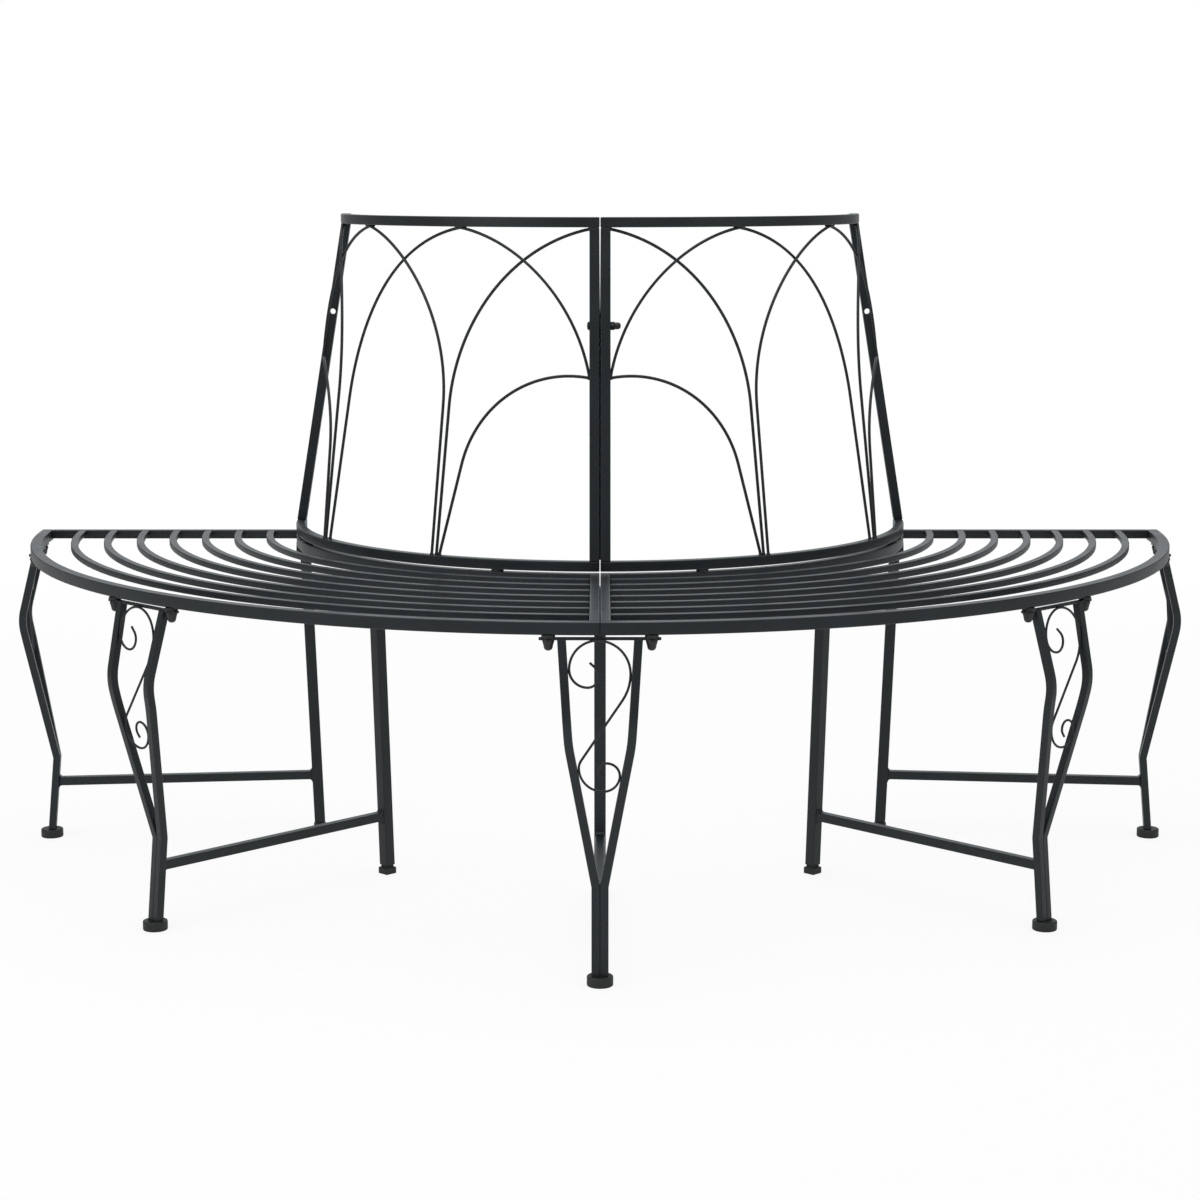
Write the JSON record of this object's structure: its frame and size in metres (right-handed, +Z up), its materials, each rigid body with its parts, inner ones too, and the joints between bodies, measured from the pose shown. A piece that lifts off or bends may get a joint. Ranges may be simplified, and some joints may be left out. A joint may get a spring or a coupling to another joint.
{
  "type": "tree bench",
  "caption": "Half-round outdoor bench of dark powder-coated steel tube that wraps round a tree trunk, with rolled slats and an arched wire backrest",
  "frame": {"origin": "centre of the box round the whole bench, on the floor", "axes": "+Z up; +Y towards the open side that faces the tree; -Y towards the person in front; +X to the viewer's right from the front"},
  "size_m": [1.6381, 0.8193, 0.88],
  "materials": {
    "frame_coating": "anthracite powder coat, satin with a fine grain",
    "slat_coating": "anthracite powder coat, satin with a fine grain",
    "leg_coating": "anthracite powder coat, satin with a fine grain",
    "wire_coating": "anthracite powder coat on round wire",
    "foot_plastic": "moulded black plastic, matt",
    "cap_plastic": "moulded black plastic, slightly glossy",
    "bolt_steel": "black coated steel fastener"
  },
  "bodies": {
    "root": {"backrest_bolts": "bolt_steel", "backrest_spacers": "cap_plastic", "front_feet": "foot_plastic", "front_leg_left_tube": "leg_coating", "front_leg_rear_tube": "leg_coating", "front_leg_right_tube": "leg_coating", "front_leg_stretcher": "leg_coating", "left_backrest_bottom_rail": "frame_coating", "left_backrest_end_upright": "frame_coating", "left_backrest_seam_upright": "frame_coating", "left_backrest_top_rail": "frame_coating", "left_backrest_wires": "wire_coating", "left_end_leg_left_tube": "leg_coating", "left_end_leg_rear_tube": "leg_coating", "left_end_leg_right_tube": "leg_coating", "left_end_leg_stretcher": "leg_coating", "left_middle_leg_left_tube": "leg_coating", "left_middle_leg_rear_tube": "leg_coating", "left_middle_leg_right_tube": "leg_coating", "left_middle_leg_stretcher": "leg_coating", "left_seat_back_bar": "frame_coating", "left_seat_inner_rail": "frame_coating", "left_seat_outer_rail": "frame_coating", "left_seat_seam_bar": "frame_coating", "leg_cap_nuts": "cap_plastic", "leg_front_plates": "leg_coating", "leg_rear_plates": "leg_coating", "leg_scrolls": "wire_coating", "leg_spacers": "cap_plastic", "rear_feet": "foot_plastic", "right_backrest_bottom_rail": "frame_coating", "right_backrest_end_upright": "frame_coating", "right_backrest_seam_upright": "frame_coating", "right_backrest_top_rail": "frame_coating", "right_backrest_wires": "wire_coating", "right_end_leg_left_tube": "leg_coating", "right_end_leg_rear_tube": "leg_coating", "right_end_leg_right_tube": "leg_coating", "right_end_leg_stretcher": "leg_coating", "right_middle_leg_left_tube": "leg_coating", "right_middle_leg_rear_tube": "leg_coating", "right_middle_leg_right_tube": "leg_coating", "right_middle_leg_stretcher": "leg_coating", "right_seat_back_bar": "frame_coating", "right_seat_inner_rail": "frame_coating", "right_seat_outer_rail": "frame_coating", "right_seat_seam_bar": "frame_coating", "seam_bolt": "bolt_steel", "seam_nut": "bolt_steel", "seam_nut_cap": "cap_plastic", "seat_slats_row_1": "slat_coating", "seat_slats_row_2": "slat_coating", "seat_slats_row_3": "slat_coating", "seat_slats_row_4": "slat_coating", "seat_slats_row_5": "slat_coating", "seat_slats_row_6": "slat_coating", "seat_slats_row_7": "slat_coating"}
  },
  "joints": []
}
